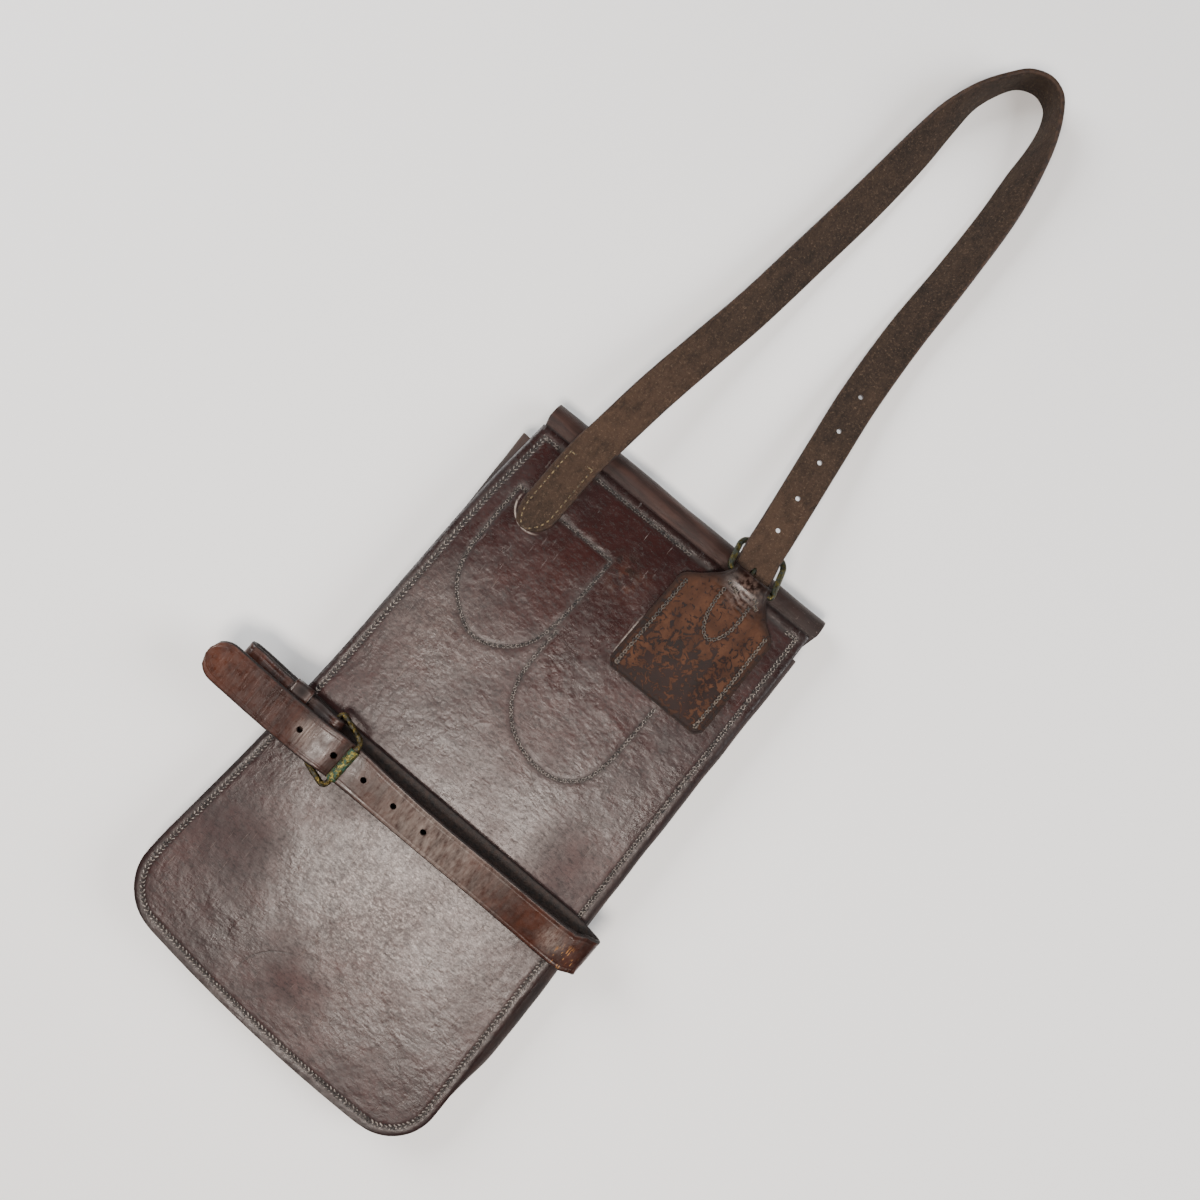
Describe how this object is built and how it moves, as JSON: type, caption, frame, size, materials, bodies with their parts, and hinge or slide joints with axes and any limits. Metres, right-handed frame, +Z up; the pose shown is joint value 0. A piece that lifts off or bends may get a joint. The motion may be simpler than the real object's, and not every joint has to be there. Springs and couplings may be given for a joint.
{
  "type": "leather dispatch case",
  "caption": "Flat leather dispatch case lying on its flap, with a shoulder strap on the back panel and a waist belt buckled into a loop across it.",
  "frame": {"origin": "on the floor under the middle of the body, on the flat outer face of the flap", "axes": "+Y towards the shoulder strap, +X to the right seen from above, +Z up, out of the back panel"},
  "size_m": [0.2983, 0.7749, 0.0479],
  "materials": {
    "body_leather": "worn dark brown bridle leather with a soft sheen",
    "gusset_leather": "worn brown leather",
    "strap_leather": "fuzzy flesh side of strap leather",
    "patch_leather": "dark finish worn through to tan",
    "belt_leather": "polished brown bridle leather with creased edges",
    "buckle_brass": "aged brass with green patina"
  },
  "bodies": {
    "root": {"back_panel": "body_leather", "front_panel": "body_leather", "gusset": "gusset_leather", "flap": "body_leather", "shoulder_strap": "strap_leather", "strap_chape": "patch_leather", "strap_buckle": "buckle_brass", "strap_buckle_prong": "buckle_brass", "belt": "belt_leather", "belt_buckle": "buckle_brass", "belt_roller": "buckle_brass", "belt_prong": "buckle_brass", "belt_keeper": "belt_leather"}
  },
  "joints": []
}
